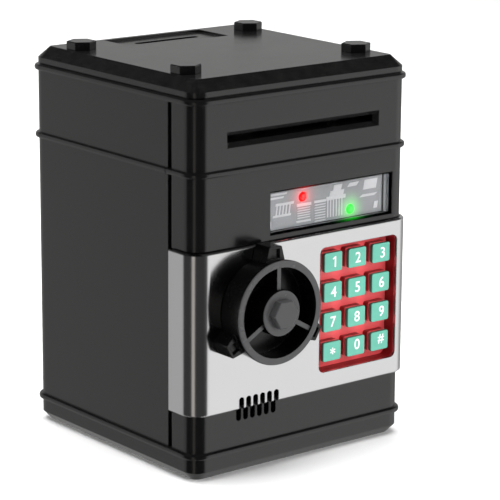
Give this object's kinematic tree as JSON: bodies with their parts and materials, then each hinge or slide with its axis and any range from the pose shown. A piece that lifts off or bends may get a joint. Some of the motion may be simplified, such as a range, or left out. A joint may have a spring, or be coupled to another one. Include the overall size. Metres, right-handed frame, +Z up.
{
  "type": "toy cash-machine savings bank",
  "caption": "Upright toy cash machine with hinged silver door, keypad, safe-style hand wheel, lamp window, banknote slot, sunk coin slot and corner bolts.",
  "frame": {"origin": "centre of the flat underside, on the surface the bank stands on", "axes": "+Z up, -Y out of the front with the keypad and dial, +X to the right seen from the front"},
  "size_m": [0.1298, 0.148, 0.187],
  "materials": {
    "black_plastic": "satin",
    "dial_plastic": "satin",
    "dial_grey": "satin",
    "steel": "plain",
    "bolt_black": "semi-gloss",
    "cell": "gloss",
    "lens": "clear",
    "card": "printed",
    "red_lamp": "lit",
    "green_lamp": "lit",
    "rubber": "matte",
    "white_nylon": "natural",
    "board": "solder mask",
    "speaker_black": "matte",
    "silver": "satin silver",
    "red": "satin",
    "mint": "satin"
  },
  "bodies": {
    "cabinet": {"base_tray": "black_plastic", "battery_cells": "cell", "battery_contacts": "steel", "housing_screws": "steel", "rear_shell": "black_plastic", "front_shell": "black_plastic", "hinge_pins": "steel", "door_frame": "black_plastic", "deck": "black_plastic", "lid": "black_plastic", "lid_bolts": "bolt_black", "window_lens": "lens", "window_card": "card", "red_led": "red_lamp", "green_led": "green_lamp", "note_guide": "black_plastic", "feed_motor": "steel", "main_board": "board", "speaker": "speaker_black"},
    "door": {"door_skin": "silver", "door_liner": "black_plastic", "door_screws": "steel", "keypad_tray": "red", "keypad_membrane": "rubber", "keypad_board": "board", "dial_bush": "white_nylon", "solenoid_body": "steel"},
    "dial": {"dial_wheel": "dial_plastic", "dial_cap": "dial_grey", "dial_shaft": "steel", "lock_cam": "steel", "latch_tongue": "steel", "cam_screw": "steel"},
    "lock_pin": {"solenoid_plunger": "steel", "plunger_spring": "steel"},
    "key_star": {"key_star": "mint"},
    "key_0": {"key_0": "mint"},
    "key_hash": {"key_hash": "mint"},
    "key_7": {"key_7": "mint"},
    "key_8": {"key_8": "mint"},
    "key_9": {"key_9": "mint"},
    "key_4": {"key_4": "mint"},
    "key_5": {"key_5": "mint"},
    "key_6": {"key_6": "mint"},
    "key_1": {"key_1": "mint"},
    "key_2": {"key_2": "mint"},
    "key_3": {"key_3": "mint"},
    "feed": {"feed_shaft": "steel", "feed_rollers": "rubber", "roller_gear": "white_nylon"},
    "pinch": {"pinch_shaft": "steel", "pinch_rollers": "rubber"},
    "pinion": {"motor_pinion": "steel"},
    "battery_cover": {"battery_cover": "black_plastic"}
  },
  "joints": [
    {"name": "door_hinge", "type": "hinge", "parent": "cabinet", "child": "door", "pos_m": [0.0632, -0.0467, 0.0686], "axis": [0, 0, 1], "range_deg": [0, 100]},
    {"name": "dial_turn", "type": "hinge", "parent": "door", "child": "dial", "pos_m": [-0.0263, -0.06, 0.0775], "axis": [0, 1, 0], "range_deg": [0, 90]},
    {"name": "lock_pin_slide", "type": "slide", "parent": "door", "child": "lock_pin", "axis": [-1, 0, 0], "range_m": [0, 0.003], "deforming": ["plunger_spring"]},
    {"name": "key_star_press", "type": "slide", "parent": "door", "child": "key_star", "axis": [0, 1, 0], "range_m": [0, 0.001], "stiffness_N_per_m": 400, "springref_m": -0.0005},
    {"name": "key_0_press", "type": "slide", "parent": "door", "child": "key_0", "axis": [0, 1, 0], "range_m": [0, 0.001], "stiffness_N_per_m": 400, "springref_m": -0.0005},
    {"name": "key_hash_press", "type": "slide", "parent": "door", "child": "key_hash", "axis": [0, 1, 0], "range_m": [0, 0.001], "stiffness_N_per_m": 400, "springref_m": -0.0005},
    {"name": "key_7_press", "type": "slide", "parent": "door", "child": "key_7", "axis": [0, 1, 0], "range_m": [0, 0.001], "stiffness_N_per_m": 400, "springref_m": -0.0005},
    {"name": "key_8_press", "type": "slide", "parent": "door", "child": "key_8", "axis": [0, 1, 0], "range_m": [0, 0.001], "stiffness_N_per_m": 400, "springref_m": -0.0005},
    {"name": "key_9_press", "type": "slide", "parent": "door", "child": "key_9", "axis": [0, 1, 0], "range_m": [0, 0.001], "stiffness_N_per_m": 400, "springref_m": -0.0005},
    {"name": "key_4_press", "type": "slide", "parent": "door", "child": "key_4", "axis": [0, 1, 0], "range_m": [0, 0.001], "stiffness_N_per_m": 400, "springref_m": -0.0005},
    {"name": "key_5_press", "type": "slide", "parent": "door", "child": "key_5", "axis": [0, 1, 0], "range_m": [0, 0.001], "stiffness_N_per_m": 400, "springref_m": -0.0005},
    {"name": "key_6_press", "type": "slide", "parent": "door", "child": "key_6", "axis": [0, 1, 0], "range_m": [0, 0.001], "stiffness_N_per_m": 400, "springref_m": -0.0005},
    {"name": "key_1_press", "type": "slide", "parent": "door", "child": "key_1", "axis": [0, 1, 0], "range_m": [0, 0.001], "stiffness_N_per_m": 400, "springref_m": -0.0005},
    {"name": "key_2_press", "type": "slide", "parent": "door", "child": "key_2", "axis": [0, 1, 0], "range_m": [0, 0.001], "stiffness_N_per_m": 400, "springref_m": -0.0005},
    {"name": "key_3_press", "type": "slide", "parent": "door", "child": "key_3", "axis": [0, 1, 0], "range_m": [0, 0.001], "stiffness_N_per_m": 400, "springref_m": -0.0005},
    {"name": "feed_spin", "type": "hinge", "parent": "cabinet", "child": "feed", "pos_m": [0, -0.014, 0.1617], "axis": [1, 0, 0], "continuous": true},
    {"name": "pinch_spin", "type": "hinge", "parent": "cabinet", "child": "pinch", "pos_m": [0, -0.014, 0.1504], "axis": [1, 0, 0], "continuous": true},
    {"name": "motor_spin", "type": "hinge", "parent": "cabinet", "child": "pinion", "pos_m": [0.045, 0.00362, 0.16811], "axis": [1, 0, 0], "continuous": true},
    {"name": "battery_cover_slide", "type": "slide", "parent": "cabinet", "child": "battery_cover", "axis": [0, 1, 0], "range_m": [0, 0.06]}
  ],
  "couplings": [
    {"joint": "pinch_spin", "follows": "feed_spin", "ratio": -1.2},
    {"joint": "motor_spin", "follows": "feed_spin", "ratio": -2.3333}
  ]
}
